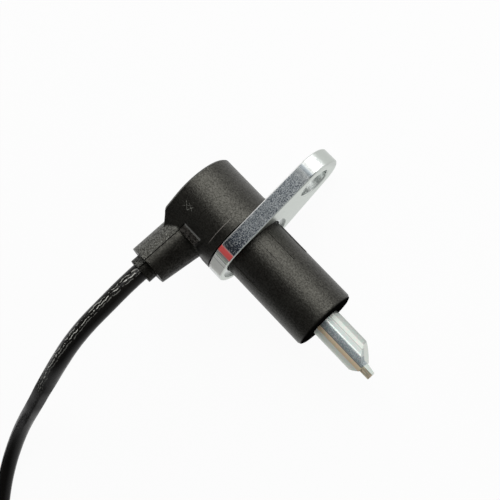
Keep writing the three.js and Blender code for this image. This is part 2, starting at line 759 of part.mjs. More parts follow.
function connectorWire(side) {
  const curve = new THREE.CatmullRomCurve3([
    new THREE.Vector3(side * WIRE_SPACING, -BOOT_LENGTH, 0),
    new THREE.Vector3(side * WIRE_SPACING, -0.75 * BOOT_LENGTH, 0),
    new THREE.Vector3(side * TAB_SPACING / 2, -BOOT_PLATE, 0),
    new THREE.Vector3(side * TAB_SPACING / 2, crimpBack - CLEARANCE, 0),
  ], false, 'centripetal');
  return tube(curve, WIRE_RADIUS, WIRE_STEPS / 2, WIRE_SIDES);
}

function wireSeal(side) {
  const seal = alongY(ring(WIRE_RADIUS + CLEARANCE, SEAL_RADIUS, CLEARANCE, CLEARANCE + SEAL_LENGTH, SMALL_ROUND));
  seal.translate(side * TAB_SPACING / 2, 0, 0);
  return seal;
}

function terminalLock() {
  const back = shroudFloor + CLEARANCE;
  const blank = roundedBox(
    chamberWidth - 2 * CLEARANCE, chamberHeight - 2 * CLEARANCE, back, back + LOCK_THICKNESS, chamberCorner);
  return cut(blank, ...tabSlots(back - OVERRUN, back + LOCK_THICKNESS + OVERRUN));
}

// Ringed rubber sleeve with a plate against the housing
function connectorBoot() {
  const pitch = (BOOT_LENGTH - BOOT_PLATE) / BOOT_RINGS;
  const profile = [[0, -BOOT_LENGTH]];
  for (let i = 0; i < BOOT_RINGS; i += 1) {
    const y = -BOOT_LENGTH + i * pitch;
    const groove = y + BOOT_RING_SHARE * pitch;
    profile.push([BOOT_RADIUS, y], [BOOT_RADIUS, groove]);
    profile.push([BOOT_RADIUS - BOOT_GROOVE, groove], [BOOT_RADIUS - BOOT_GROOVE, y + pitch]);
  }
  profile.push([BOOT_RADIUS, -BOOT_PLATE], [BOOT_RADIUS, -BOOT_PLATE / 2], [0, -BOOT_PLATE / 2]);
  const sleeve = alongY(turned(profile, 24));
  const cover = roundedBox(
    CONNECTOR_WIDTH - CONNECTOR_WALL, CONNECTOR_HEIGHT - CONNECTOR_WALL, -BOOT_PLATE, -CLEARANCE, CONNECTOR_CORNER);
  const narrow = WIRE_SPACING + WIRE_RADIUS + CLEARANCE;
  const wide = TAB_SPACING / 2 + WIRE_RADIUS + CLEARANCE;
  const channel = alongY(turned([
    [0, -BOOT_LENGTH - OVERRUN],
    [narrow, -BOOT_LENGTH - OVERRUN],
    [narrow, -0.8 * BOOT_LENGTH],
    [wide, -BOOT_PLATE - OVERRUN],
    [wide, 1],
    [0, 1],
  ], 24));
  return cut(join(sleeve, cover), channel);
}

const connector = new THREE.Group();
connector.position.copy(connectorPlace);
connector.add(
  piece('connector_housing', connectorHousing(), 'housing'),
  piece('connector_boot', connectorBoot(), 'rubber'),
  piece('terminal_lock', terminalLock(), 'lock'));
[-1, 1].forEach((side, index) => {
  connector.add(
    piece(`connector_terminal_${index + 1}`, connectorTerminal(side), 'tin'),
    piece(`connector_wire_${index + 1}`, connectorWire(side), 'wire'),
    piece(`wire_seal_${index + 1}`, wireSeal(side), 'seal'));
});

const lead = new THREE.Group();
lead.add(
  piece('cable_run', cableRun(), 'jacket'),
  piece('cable_coil', cableCoil(), 'jacket'),
  piece('cable_tail', cableTail(), 'jacket'),
  ...TIE_ANGLES.map((angle, index) => piece(`cable_tie_${index + 1}`, cableTie(angle), 'tie')),
  connector);

const wheelSpeedSensor = new THREE.Group();
wheelSpeedSensor.add(sensor, lead);

export default wheelSpeedSensor;
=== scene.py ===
"""Looks of the wheel speed sensor: camera, cable, finishes, light and floor. Metres, in the solids' frame."""

import math

import bpy
from mathutils import Matrix, Vector


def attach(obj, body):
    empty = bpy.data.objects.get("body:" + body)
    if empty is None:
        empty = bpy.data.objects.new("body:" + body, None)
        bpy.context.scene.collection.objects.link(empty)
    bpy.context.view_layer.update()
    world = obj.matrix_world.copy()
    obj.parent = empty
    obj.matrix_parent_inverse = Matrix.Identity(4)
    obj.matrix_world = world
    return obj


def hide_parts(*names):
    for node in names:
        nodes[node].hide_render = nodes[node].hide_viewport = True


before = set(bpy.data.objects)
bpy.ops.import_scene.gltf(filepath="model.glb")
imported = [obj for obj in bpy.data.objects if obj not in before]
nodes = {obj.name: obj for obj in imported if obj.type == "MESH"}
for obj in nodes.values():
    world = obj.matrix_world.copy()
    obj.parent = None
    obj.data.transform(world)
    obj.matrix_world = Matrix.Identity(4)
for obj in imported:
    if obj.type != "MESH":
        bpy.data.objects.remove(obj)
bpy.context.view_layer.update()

MM = 0.001

# The sensor's own frame, rolled on the table: +X to the pole tip, +Y to the bolt hole
SENSOR_PLACE = (-0.0111, -0.0037109, 0.0116415)
SENSOR_ROLL = math.radians(-8.9144)
# The boss stands out along -Y of the head's frame, which is rolled further, and its near side is +Z there
BOSS_ROLL = SENSOR_ROLL - math.radians(26.5)
HEAD_PLACE = (-0.0111, -0.0044024, 0.01175)

# Barrel and head, in millimetres of the sensor's frame: the barrel's end, whose face is painted darkest as
# shade, and a mould line round the head, painted light as a highlight
BARREL_END = 26.8
MOULD_LINE = -7.6
MOULD_LINE_SPAN = (-4.5, 3.5)
# Boss, in millimetres of the head's frame: its middle along X, its radius, and its finishes' starts along Y,
# the first also where the painted light on its top half starts
BOSS_MIDDLE = -16.0
BOSS_RADIUS = 6.0
CRACKLE_AND_LIGHT_START = (-10.6, -9.6)
SHEEN_START = -11.5
GROOVE_START = -9.2
COLLAR_START = -23.2
# Block at the boss's root: its limits along Y, the start of the painted highlight along its edge, its end
# along X and its foot along Z
BLOCK_SPAN = (-11.7, -9.2)
BLOCK_HIGHLIGHT_START = -9.5
BLOCK_RIGHT = -10.0
BLOCK_NEAR = 6.4
# Scratches on the head, in millimetres: each line's slant and the sum of X and slanted Y that it keeps
SCRATCHES = [(1.0, -20.2), (-1.1, -16.5), (-0.5, -16.3), (1.7, -19.6)]
SCRATCHED_X = (-19.3, -16.4)
SCRATCHED_Y = (-2.6, -0.8)

# Flange, in millimetres: the flank's height and edges, then soft limits along Y of each zone of the plating
# and of the painted light and shade on it
FLANK_HEIGHT = 7.0
FLANGE_EDGE = (0.2, 4.5)
LIT_ROUND_END = (-5.6, -4.2)
DARK_START = (-2.1, -1.8)
DARK_END = (21.0, 26.9)
LUG_SHADE = (25.2, 26.6)
LUG_START = (26.2, 26.8)
LUG_END = (29.2, 30.2)
FLANGE_DAB = (-4.0, -2.1)
# Narrow lines painted across the round end's curve, painted reflections light and dark: from and to along Y,
# and colour
FLANGE_REFLECTION_LINES = [
    (-6.6, -6.45, (0.35, 0.37, 0.36)),
    (-5.75, -5.5, (0.95, 0.96, 0.94)),
    (-5.42, -5.25, (0.22, 0.24, 0.22)),
    (-5.1, -4.7, (0.75, 0.84, 0.7)),
    (-4.62, -4.3, (0.98, 0.95, 0.93)),
]

# Pin, in millimetres: the blade's start along X, limits along Y, and bands with from, to and colour
BLADE_START = 41.9
# Less metallic over this span, so that the painted bands show as colour
PIN_DULLED = (-4.3, 1.25)
PIN_SPECKLED = (-0.2, 1.3)
# Painted highlight band, painted darker to tone down the reflection on it
PIN_HIGHLIGHT_BAND = (1.45, 2.4)
PIN_WING = (3.3, 3.5)
# Bands: light and slate painted reflections, a brown band, a thin dark painted shadow line and a grey painted
# shade line at the kink
PIN_TONE_AND_REFLECTION_BANDS = [
    (-4.3, -1.8, (0.98, 0.98, 0.93)),
    (-1.75, -0.55, (0.98, 0.75, 0.53)),
    (-0.5, -0.3, (0.1, 0.09, 0.09)),
    (-0.25, 1.35, (0.24, 0.265, 0.29)),
    (2.5, 2.62, (0.3, 0.3, 0.3)),
]

# Edges of the solids: millimetres within which points are joined, and turn in degrees that is bevelled
WELD_REACH = 0.002
EDGE_ANGLE = 32

CABLE_DIAMETER = 0.005
CABLE_STEP = 0.002
EXIT = Vector((-0.0271, -0.0253883, 0.0266718))
EXIT_AIM = Vector((0, -0.815, 0.5795)).normalized()
EXIT_LEAD = 0.0015

# The cable's route from the exit to the coil: X and Y from the exit, and the height of its middle
RUN_ROUTE = [
    (0.0001, -0.0054, 0.0303),
    (0.0003, -0.0104, 0.0330),
    (0.0002, -0.0178, 0.0352),
    (0.0002, -0.0255, 0.0356),
    (0.0005, -0.0333, 0.0349),
    (0.0003, -0.0406, 0.0324),
    (-0.0004, -0.0474, 0.0288),
    (-0.0015, -0.0537, 0.0244),
    (-0.0026, -0.0599, 0.0198),
    (-0.0036, -0.0662, 0.0155),
    (-0.0044, -0.0729, 0.0116),
    (-0.0048, -0.0800, 0.0085),
    (-0.0046, -0.0873, 0.0060),
    (-0.0036, -0.0948, 0.0042),
    (-0.0018, -0.1022, 0.0031),
    (0.0010, -0.1095, 0.0027),
    (0.0045, -0.1164, 0.0025),
    (0.0093, -0.1244, 0.0025),
    (0.0134, -0.1325, 0.0027),
    (0.0159, -0.1415, 0.0031),
    (0.0171, -0.1500, 0.0035),
]
COIL_MIDDLE = EXIT + Vector((-0.0100, -0.1555, 0))
COIL_OUTER_TURN = 0.0275
COIL_INNER_TURN = 0.0225
COIL_LOW = 0.0037
COIL_HIGH = 0.0087
# Degrees: the coil's start, its whole turning, the step between points, and where it changes radius or layer
COIL_START = 10
COIL_TURNING = 1270
COIL_STEP = 10
STEP_IN = (310, 350)
STEP_UP = (640, 680)
STEP_OUT = (955, 1000)

# Painted highlights along creases of the cable, in millimetres: the X at which each lies, with its strength
CREASE_HIGHLIGHTS = [(-27.3, 1.0), (-28.1, 0.55), (-26.5, 0.25)]
# Limits along Y of the painted highlights along creases and of the stretch that comes down to the table
CREASE_HIGHLIGHTS_END = -78
COMING_DOWN = (-98, -64)

CONNECTOR_PLACE = EXIT + Vector((-0.0375, -0.1175, 0))
CONNECTOR_HEIGHT = 0.007
BOOT_LENGTH = 0.012
# The cable's way from the coil into the boot: its start past the coil's middle, its last stretch and its gap
TAIL_START = 0.010
TAIL_LEAD = 0.008
TAIL_RISE = 0.0006
TAIL_GAP = 0.0003

FLOOR_HALF = 3.0
FLOOR_DROP = 0.0002
FLOOR_WHITE = 0.95
# The room's brightness near the table and above, and the heights between which it falls
ROOM_LOW = 0.75
ROOM_SIDES = 0.12
ROOM_FALL = (0.05, 0.55)
LAMP_PLACE = (-0.20, 0.47, 0.32)
LAMP_SIZE = (0.7, 0.56)
LAMP_RADIANCE = 3.4
LAMP_AIM = (0, 0, 0.01)

CAMERA_PLACE = (0.03901, 0.10794, 0.23851)
CAMERA_RIGHT = (0.6785, 0.5852, -0.4440)
CAMERA_DOWN = (0.7078, -0.6826, 0.1818)
CAMERA_LENS = 70.42


# Camera, fitted to the photograph


def make_camera():
    data = bpy.data.cameras.new("camera")
    data.sensor_width = 36
    data.lens = CAMERA_LENS
    data.clip_start = 0.01
    data.clip_end = 20
    camera = bpy.data.objects.new("camera", data)
    bpy.context.collection.objects.link(camera)
    right = Vector(CAMERA_RIGHT)
    down = Vector(CAMERA_DOWN)
    down = (down - right * down.dot(right)).normalized()
    right.normalize()
    back = right.cross(-down)
    turn = Matrix((right, -down, back)).transposed()
    camera.matrix_world = Matrix.Translation(CAMERA_PLACE) @ turn.to_4x4()
    bpy.context.scene.camera = camera


make_camera()


# Shader graphs, written as expressions


class Graph:
    """A material's nodes. The methods add nodes to it and return their output sockets."""

    def __init__(self, name):
        self.material = bpy.data.materials.new(name)
        self.material.use_nodes = True
        self.tree = self.material.node_tree
        self.shader = self.tree.nodes["Principled BSDF"]

    def feed(self, socket, value):
        if isinstance(value, bpy.types.NodeSocket):
            self.tree.links.new(value, socket)
        else:
            socket.default_value = value

    def math(self, operation, a, b=0.0):
        node = self.tree.nodes.new("ShaderNodeMath")
        node.operation = operation
        self.feed(node.inputs[0], a)
        self.feed(node.inputs[1], b)
        return node.outputs[0]

    def coordinates(self, place=(0, 0, 0), turn=(0, 0, 0)):
        """Millimetres in a frame that sits at place and is turned, from the object's own coordinates."""
        where = self.tree.nodes.new("ShaderNodeTexCoord")
        mapping = self.tree.nodes.new("ShaderNodeMapping")
        mapping.vector_type = "TEXTURE"
        mapping.inputs["Location"].default_value = place
        mapping.inputs["Rotation"].default_value = turn
        mapping.inputs["Scale"].default_value = (MM, MM, MM)
        self.tree.links.new(where.outputs["Object"], mapping.inputs["Vector"])
        return mapping.outputs[0]

    def split(self, vector):
        node = self.tree.nodes.new("ShaderNodeSeparateXYZ")
        self.feed(node.inputs[0], vector)
        return node.outputs[0], node.outputs[1], node.outputs[2]

    def stretch(self, vector, scale):
        node = self.tree.nodes.new("ShaderNodeVectorMath")
        node.operation = "MULTIPLY"
        self.feed(node.inputs[0], vector)
        node.inputs[1].default_value = scale
        return node.outputs[0]

    def noise(self, vector, scale, detail=2.0, roughness=0.5, distortion=0.0):
        node = self.tree.nodes.new("ShaderNodeTexNoise")
        self.feed(node.inputs["Vector"], vector)
        node.inputs["Scale"].default_value = scale
        node.inputs["Detail"].default_value = detail
        node.inputs["Roughness"].default_value = roughness
        node.inputs["Distortion"].default_value = distortion
        return node.outputs["Fac"]

    def rescale(self, value, low, high, to_low=0.0, to_high=1.0):
        node = self.tree.nodes.new("ShaderNodeMapRange")
        node.interpolation_type = "SMOOTHSTEP"
        self.feed(node.inputs["Value"], value)
        node.inputs["From Min"].default_value = low
        node.inputs["From Max"].default_value = high
        node.inputs["To Min"].default_value = to_low
        node.inputs["To Max"].default_value = to_high
        return node.outputs[0]

    def band(self, value, low, high, soft):
        """1 between low and high, falling to 0 over soft on each side."""
        rise = self.rescale(value, low - soft, low + soft)
        fall = self.rescale(value, high - soft, high + soft, 1, 0)
        return self.math("MULTIPLY", rise, fall)

    def both(self, a, b):
        return self.math("MULTIPLY", a, b)

    def mix(self, factor, a, b, kind="MIX"):
        node = self.tree.nodes.new("ShaderNodeMix")
        node.data_type = "RGBA"
        node.blend_type = kind
        self.feed(node.inputs["Factor"], factor)
        self.feed(node.inputs[6], a if not isinstance(a, tuple) else (*a, 1))
        self.feed(node.inputs[7], b if not isinstance(b, tuple) else (*b, 1))
        return node.outputs[2]

    def blend(self, factor, a, b):
        node = self.tree.nodes.new("ShaderNodeMix")
        node.data_type = "FLOAT"
        self.feed(node.inputs["Factor"], factor)
        self.feed(node.inputs[2], a)
        self.feed(node.inputs[3], b)
        return node.outputs[0]

    def bump(self, height, strength, distance):
        node = self.tree.nodes.new("ShaderNodeBump")
        self.feed(node.inputs["Height"], height)
        node.inputs["Strength"].default_value = strength
        node.inputs["Distance"].default_value = distance * MM
        return node.outputs[0]

    def finish(self, **values):
        """Feeds the named values to the shader and returns the material."""
        names = {
            "color": "Base Color",
            "rough": "Roughness",
            "metal": "Metallic",
            "normal": "Normal",
            "specular": "Specular IOR Level",
            "tint": "Specular Tint",
        }
        for key, value in values.items():
            value = (*value, 1) if isinstance(value, tuple) else value
            self.feed(self.shader.inputs[names[key]], value)
        return self.material


def moulded(name, color, rough, grain=0.35, strength=0.25):
    """Moulded plastic or rubber: slow cloudy changes in colour and a fine grain."""
    g = Graph(name)
    mm = g.coordinates()
    fine = g.noise(mm, 1 / grain, 4, 0.6)
    slow = g.noise(mm, 0.25, 3)
    light = tuple(min(1, 1.5 * c + 0.004) for c in color)
    return g.finish(
        color=g.mix(g.rescale(slow, 0.3, 0.75), color, light),
        rough=g.blend(fine, rough - 0.08, rough + 0.1),
        normal=g.bump(fine, strength, 0.05),
    )


def boss_halves(g, x, out, near):
    """Masks of the boss's crackled top half, painted lighter as lit, and of its glossier lower half."""
    from_axis = g.math("SUBTRACT", x, BOSS_MIDDLE)
    reach = g.math("SQRT", g.math("ADD", g.both(from_axis, from_axis), g.both(near, near)))
    on_boss = g.both(g.rescale(out, *CRACKLE_AND_LIGHT_START, 1, 0),
                     g.rescale(reach, BOSS_RADIUS - 0.15, BOSS_RADIUS, 1, 0))
    lit_upper = g.both(on_boss, g.rescale(x, BOSS_MIDDLE - 0.3, BOSS_MIDDLE + 0.1, 1, 0))
    lower = g.both(g.rescale(out, SHEEN_START - 0.1, SHEEN_START, 1, 0),
                   g.rescale(x, BOSS_MIDDLE + 0.2, BOSS_MIDDLE + 2.8))
    return lit_upper, lower


def boss_parting(g, x, out, near):
    """Mask of the groove along the boss, where the mould's halves met; it is also painted darkest as shade.
    """
    along = g.both(g.band(x, BOSS_MIDDLE - 0.13, BOSS_MIDDLE + 0.13, 0.05), g.rescale(near, 2.5, 3.5))
    return g.both(along, g.rescale(out, GROOVE_START - 0.1, GROOVE_START, 1, 0))


def root_block(g, x, out, near):
    """Masks of the block at the boss's root and of the painted highlight along its edge."""
    along = g.both(g.band(out, *BLOCK_SPAN, 0.05), g.rescale(x, BOSS_MIDDLE - 0.1, BOSS_MIDDLE))
    inside = g.both(g.rescale(near, BLOCK_NEAR, BLOCK_NEAR + 0.1),
                    g.rescale(x, BLOCK_RIGHT, BLOCK_RIGHT + 0.1, 1, 0))
    block = g.both(along, inside)
    return block, g.both(block, g.rescale(out, BLOCK_HIGHLIGHT_START - 0.1, BLOCK_HIGHLIGHT_START))


def head_marks(g, mm):
    """Masks of the scratches on the head and of the painted highlight along its mould line."""
    x, y, z = g.split(mm)
    scratch = 0.0
    for slant, middle in SCRATCHES:
        across = g.math("ADD", x, g.math("MULTIPLY", y, slant))
        scratch = g.math("MAXIMUM", scratch, g.band(across, middle - 0.09, middle + 0.09, 0.09))
    scratch = g.both(scratch, g.rescale(g.noise(mm, 1.5, 3, 0.6), 0.4, 0.55))
    scratched = g.both(g.band(x, *SCRATCHED_X, 0.2), g.band(y, *SCRATCHED_Y, 0.2))
    scratched = g.both(scratched, g.rescale(z, 9, 10))
    on_line = g.both(g.band(x, MOULD_LINE - 0.06, MOULD_LINE + 0.06, 0.05), g.band(y, *MOULD_LINE_SPAN, 1.0))
    return g.both(scratch, scratched), g.both(on_line, g.rescale(z, 8, 9))


def sensor_plastic():
    """Glass-filled nylon: near black, finely grained, with a groove where the mould's halves met and a
    crackled boss. Painted light on the boss's top half, painted highlights on the mould line and the block's
    edge, painted shade in the groove and on the barrel's end face.
    """
    g = Graph("sensor_plastic")
    mm = g.coordinates(SENSOR_PLACE, (SENSOR_ROLL, 0, 0))
    x, _, _ = g.split(mm)
    _, out, near = g.split(g.coordinates(HEAD_PLACE, (BOSS_ROLL, 0, 0)))
    fine = g.noise(mm, 2.2, 5, 0.7)
    slow = g.noise(mm, 0.18, 3)
    crackle = g.rescale(g.noise(mm, 2.0, 4, 0.7, 0.6), 0.42, 0.6)
    lit_upper, lower = boss_halves(g, x, out, near)
    shaded_parting = boss_parting(g, x, out, near)
    block, block_edge_highlight = root_block(g, x, out, near)
    collar = g.rescale(out, COLLAR_START - 0.1, COLLAR_START + 0.1, 1, 0)
    shaded_end_face = g.rescale(x, BARREL_END - 0.9, BARREL_END - 0.3)
    scuff, mould_line_highlight = head_marks(g, mm)
    color = g.mix(g.rescale(slow, 0.3, 0.75), (0.0045, 0.004, 0.0035), (0.010, 0.0095, 0.008))
    # Painted light: the crackle on the boss's top half is painted lighter, as lit
    color = g.mix(g.both(lit_upper, crackle), color, (0.11, 0.11, 0.1))
    color = g.mix(g.both(block, crackle), color, (0.024, 0.022, 0.02))
    color = g.mix(scuff, color, (0.2, 0.2, 0.18))
    # Painted highlight along the block's edge
    color = g.mix(block_edge_highlight, color, (0.2, 0.2, 0.19))
    # Painted highlight along the mould line
    color = g.mix(mould_line_highlight, color, (0.28, 0.26, 0.24))
    # Painted shade: the groove and the barrel's end face are painted darkest
    color = g.mix(g.math("MAXIMUM", shaded_parting, shaded_end_face), color, (0.004, 0.0038, 0.0035))
    height = g.math("SUBTRACT", g.blend(lit_upper, fine, crackle), g.math("MULTIPLY", shaded_parting, 4.0))
    grain = g.rescale(fine, 0.36, 0.64)
    shine = g.blend(lower, g.blend(grain, 0.26, 0.74), g.blend(crackle, 0.05, 0.24))
    shine = g.blend(block, shine, g.blend(crackle, 0.0, 0.07))
    shine = g.blend(collar, shine, g.blend(crackle, 0.03, 0.2))
    shine = g.blend(shaded_end_face, shine, 0.0)
    return g.finish(
        color=color,
        rough=g.blend(fine, 0.3, 0.42),
        normal=g.bump(height, 0.7, 0.1),
        specular=g.blend(shaded_parting, shine, 0.0),
        tint=(1.0, 0.98, 0.86),
    )


def flange_zinc():
    """Zinc plate: painted pale at the round end as painted light, with a red dab, dark speckle along the
    flank, painted reflection lines, a painted highlight along the flank's edge, and painted shade before a
    grey lug.
    """
    g = Graph("flange_zinc")
    mm = g.coordinates(SENSOR_PLACE, (SENSOR_ROLL, 0, 0))
    x, y, z = g.split(mm)
    fine = g.noise(mm, 2.2, 6, 0.7)
    speckle = g.noise(mm, 3.2, 3, 0.75)
    flank = g.rescale(z, FLANK_HEIGHT - 0.5, FLANK_HEIGHT + 0.5)
    edge = g.band(x, -FLANGE_EDGE[1], -FLANGE_EDGE[0], 0.12)
    face = g.both(flank, edge)
    dark_zone = g.both(g.both(g.rescale(y, *DARK_START), g.rescale(y, *DARK_END, 1, 0)), face)
    threshold = g.rescale(y, -2, 7, 0.58, 0.47)
    dark = g.rescale(g.math("SUBTRACT", threshold, speckle), -0.03, 0.06)
    light = g.both(dark_zone, g.rescale(speckle, 0.56, 0.64))
    pale = g.mix(g.rescale(fine, 0.4, 0.6), (0.56, 0.59, 0.58), (0.74, 0.76, 0.74))
    lug_shade = g.both(face, g.band(y, *LUG_SHADE, 0.5))
    lug = g.both(face, g.rescale(y, *LUG_START))
    lug_end = g.rescale(y, *LUG_END)
    lit_round_end = g.both(face, g.rescale(y, *LIT_ROUND_END, 1, 0))
    mouth = g.rescale(x, -0.3, -0.1)
    pale = g.mix(mouth, pale, (0.57, 0.61, 0.57))
    # Painted light: the round end is painted pale and less metallic, as lit from its side
    pale = g.mix(lit_round_end, pale, (0.86, 0.87, 0.82))
    color = g.mix(g.math("MULTIPLY", dark_zone, 0.6), pale, (0.46, 0.52, 0.57))
    color = g.mix(g.both(dark_zone, dark), color, (0.07, 0.085, 0.115))
    color = g.mix(light, color, (0.9, 0.92, 0.92))
    color = g.mix(lug_shade, color, (0.2, 0.22, 0.23))
    color = g.mix(lug, color, g.mix(g.rescale(fine, 0.4, 0.6), (0.3, 0.31, 0.3), (0.42, 0.43, 0.42)))
    color = g.mix(lug_end, color, (0.5, 0.53, 0.5))
    # Painted reflections: narrow light and dark lines across the round end's curve
    for low, high, tone in FLANGE_REFLECTION_LINES:
        color = g.mix(g.both(g.band(y, low, high, 0.06), face), color, tone)
    # Painted highlight along the flank's edge
    rim_highlight = g.both(flank, g.rescale(x, -FLANGE_EDGE[1], -FLANGE_EDGE[1] + 0.15, 1, 0))
    color = g.mix(rim_highlight, color, (0.95, 0.95, 0.93))
    dab = g.both(g.band(y, *FLANGE_DAB, 0.3), g.both(flank, g.rescale(x, -0.35, -0.1, 1, 0)))
    color = g.mix(dab, color, (0.66, 0.09, 0.085))
    return g.finish(
        color=color,
        rough=g.blend(dab, g.blend(rim_highlight, g.blend(lug, g.blend(fine, 0.26, 0.42), 0.5), 0.6), 0.5),
        metal=g.blend(dab, g.blend(lit_round_end, 1.0, 0.2), 0.0),
        normal=g.bump(fine, 0.35, 0.05),
    )


def pin_steel():
    """Ground steel: narrow bands along the pin, painted reflections light and slate with a brown band and a
    painted shadow line, and fine long scratches.
    """
    g = Graph("pin_steel")
    mm = g.coordinates(SENSOR_PLACE, (SENSOR_ROLL, 0, 0))
    grain = g.noise(g.stretch(mm, (0.15, 1, 1)), 3, 4, 0.6)
    stain = g.noise(mm, 2.0, 4, 0.7)
    x, y, z = g.split(mm)
    color = g.mix(grain, (0.6, 0.6, 0.58), (0.76, 0.76, 0.74))
    above = g.rescale(z, 0.5, 1.0)
    # Bands along the pin's top: painted reflections, a painted shadow line and a brown band
    for low, high, tone in PIN_TONE_AND_REFLECTION_BANDS:
        color = g.mix(g.both(g.band(y, low, high, 0.1), above), color, tone)
    dulled = g.both(g.band(y, *PIN_DULLED, 0.1), above)
    highlight_band = g.both(g.band(y, *PIN_HIGHLIGHT_BAND, 0.1), above)
    wing = g.rescale(y, *PIN_WING)
    speckle = g.both(g.band(y, *PIN_SPECKLED, 0.1), g.rescale(g.noise(mm, 3.0, 3, 0.7), 0.48, 0.58))
    # Painted highlight band, painted darker to tone down its reflection
    color = g.mix(highlight_band, color, (0.5, 0.52, 0.52))
    color = g.mix(wing, color, (0.46, 0.47, 0.46))
    color = g.mix(g.both(speckle, above), color, (0.44, 0.47, 0.5))
    tint = g.mix(g.rescale(stain, 0.42, 0.6), (0.82, 0.97, 0.9), (1, 0.93, 0.9))
    on_blade = g.rescale(x, BLADE_START - 0.1, BLADE_START)
    blade_front = g.both(g.both(on_blade, above), g.rescale(y, 0.0, 0.1, 1, 0))
    color = g.mix(on_blade, color, (0.6, 0.62, 0.6))
    tan = g.mix(g.rescale(grain, 0.4, 0.6), (0.5, 0.42, 0.33), (0.85, 0.72, 0.56))
    color = g.mix(blade_front, color, tan)
    return g.finish(
        color=g.mix(0.8, color, tint, "MULTIPLY"),
        rough=g.blend(grain, 0.34, 0.5),
        metal=g.blend(dulled, 1.0, 0.3),
        normal=g.bump(grain, 0.2, 0.04),
    )


def metal(name, color, rough):
    """Plain metal with a faint grain."""
    g = Graph(name)
    mm = g.coordinates()
    grain = g.noise(mm, 2.0, 4, 0.6)
    dark = tuple(0.7 * c for c in color)
    return g.finish(
        color=g.mix(grain, dark, color),
        rough=g.blend(grain, rough, rough + 0.15),
        metal=1.0,
        normal=g.bump(grain, 0.15, 0.03),
    )


def copper_winding():
    """Enamelled wire: fine ridges round the sensor's axis, painted darker in the valleys between turns as
    shade and lighter on their tops.
    """
    g = Graph("copper_winding")
    x, _, _ = g.split(g.coordinates(SENSOR_PLACE, (SENSOR_ROLL, 0, 0)))
    ridge = g.math("SINE", g.math("MULTIPLY", x, 2 * math.pi / 0.18))
    return g.finish(
        # Painted shade: darker in the valleys between turns, lighter on their tops
        color=g.mix(g.rescale(ridge, -1, 1), (0.2, 0.05, 0.015), (0.6, 0.2, 0.07)),
        rough=0.3,
        metal=0.8,
        normal=g.bump(ridge, 0.5, 0.05),
    )


def cable_jacket():
    """Black jacket: glossy, with broken painted highlights along creases near the exit, and duller where it
    comes down.
    """
    g = Graph("cable_jacket")
    mm = g.coordinates()
    x, y, _ = g.split(mm)
    fine = g.noise(mm, 1.2, 5, 0.6)
    slow = g.noise(mm, 0.12, 3)
    near_exit = g.rescale(y, CREASE_HIGHLIGHTS_END, CREASE_HIGHLIGHTS_END + 8)
    coming_down = g.band(y, *COMING_DOWN, 9)
    wander = g.math("MULTIPLY", g.math("SUBTRACT", g.noise(mm, 0.35, 2, 0.6), 0.5), 1.6)
    side = g.math("SUBTRACT", x, wander)
    broken = g.rescale(g.noise(g.stretch(mm, (0.6, 0.25, 0.6)), 2.4, 3, 0.6), 0.43, 0.5)
    crease_highlight = 0.0
    for middle, strength in CREASE_HIGHLIGHTS:
        line = g.both(g.band(side, middle - 0.1, middle + 0.1, 0.08), strength)
        crease_highlight = g.math("MAXIMUM", crease_highlight, line)
    crease_highlight = g.both(g.both(crease_highlight, broken), near_exit)
    color = g.mix(slow, (0.004, 0.0036, 0.0032), (0.008, 0.0072, 0.0065))
    return g.finish(
        # Painted highlights along the creases near the exit
        color=g.mix(crease_highlight, color, (0.55, 0.55, 0.5)),
        rough=g.blend(coming_down, g.blend(g.rescale(fine, 0.4, 0.6), 0.12, 0.3), 0.4),
        normal=g.bump(fine, 0.15, 0.12),
        specular=g.blend(coming_down, g.blend(near_exit, 0.1, 0.16), 0.012),
    )


def carry(name, material, bevel=0.08):
    """A CAD node with its edges broken and its curved faces smooth."""
    node = nodes[name]
    node.data.materials.clear()
    node.data.materials.append(material)
    node.data.polygons.foreach_set("use_smooth", [True] * len(node.data.polygons))
    weld = node.modifiers.new("weld", "WELD")
    weld.merge_threshold = WELD_REACH * MM
    if bevel:
        edge = node.modifiers.new("edge", "BEVEL")
        edge.width = bevel * MM
        edge.segments = 2
        edge.limit_method = "ANGLE"
        edge.angle_limit = math.radians(EDGE_ANGLE)
        edge.use_clamp_overlap = True
    smoother = node.modifiers.new("normals", "WEIGHTED_NORMAL")
    smoother.mode = "FACE_AREA"
    smoother.weight = 60
    return node


# Cable: one line from the exit, along the table and through the coil to the connector's boot


def smooth(value, start, end):
    t = min(1, max(0, (value - start) / (end - start)))
    return t * t * (3 - 2 * t)


def flowing(points, step):
    """Points about step apart along a smooth line through the given points."""
    line = []
    padded = [2 * points[0] - points[1], *points, 2 * points[-1] - points[-2]]
    for before, start, end, after in zip(padded, padded[1:], padded[2:], padded[3:]):
        count = max(1, round((end - start).length / step))
        for i in range(count):
            t = i / count
            line.append(0.5 * (
                2 * start
                + (end - before) * t
                + (2 * before - 5 * start + 4 * end - after) * t**2
                + (3 * start - before - 3 * end + after) * t**3))
    return [*line, points[-1]]


def coil_points():
    points = []
    for turning in range(COIL_STEP, COIL_TURNING + 1, COIL_STEP):
        inwards = smooth(turning, *STEP_IN) - smooth(turning, *STEP_OUT)
        radius = COIL_OUTER_TURN + (COIL_INNER_TURN - COIL_OUTER_TURN) * inwards
        height = COIL_LOW + (COIL_HIGH - COIL_LOW) * smooth(turning, *STEP_UP)
        angle = math.radians(COIL_START - turning)
        x = COIL_MIDDLE.x + radius * math.cos(angle)
        y = COIL_MIDDLE.y + radius * math.sin(angle)
        points.append(Vector((x, y, height)))
    return points


